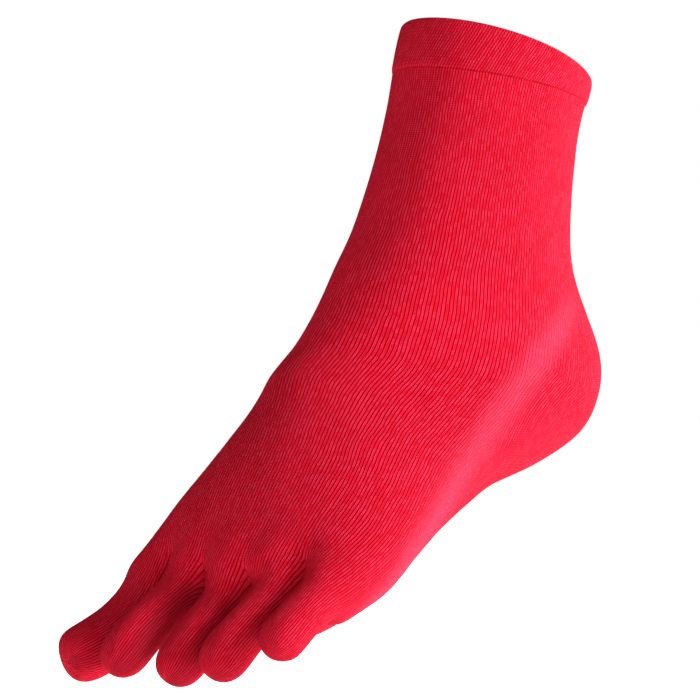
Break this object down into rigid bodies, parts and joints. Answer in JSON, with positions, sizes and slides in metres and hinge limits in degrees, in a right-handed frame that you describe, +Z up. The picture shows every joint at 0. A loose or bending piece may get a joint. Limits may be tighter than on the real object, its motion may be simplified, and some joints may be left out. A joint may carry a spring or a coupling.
{
  "type": "toe sock",
  "caption": "Red knitted ankle toe sock for the left foot in its worn shape, heel raised, with a doubled cuff, a heel pocket and five separate toe pockets.",
  "frame": {"origin": "middle of the cuff's mouth, where the leg goes in", "axes": "+Z up along the leg, toes towards -X, big toe's side towards +Y and little toe's side towards -Y"},
  "size_m": [0.1986, 0.092, 0.2292],
  "materials": {
    "knit": "matte",
    "rib": "matte"
  },
  "bodies": {
    "root": {"cuff": "rib", "leg_and_foot": "knit", "heel_pocket": "knit", "big_toe": "knit", "second_toe": "knit", "third_toe": "knit", "fourth_toe": "knit", "little_toe": "knit"}
  },
  "joints": []
}
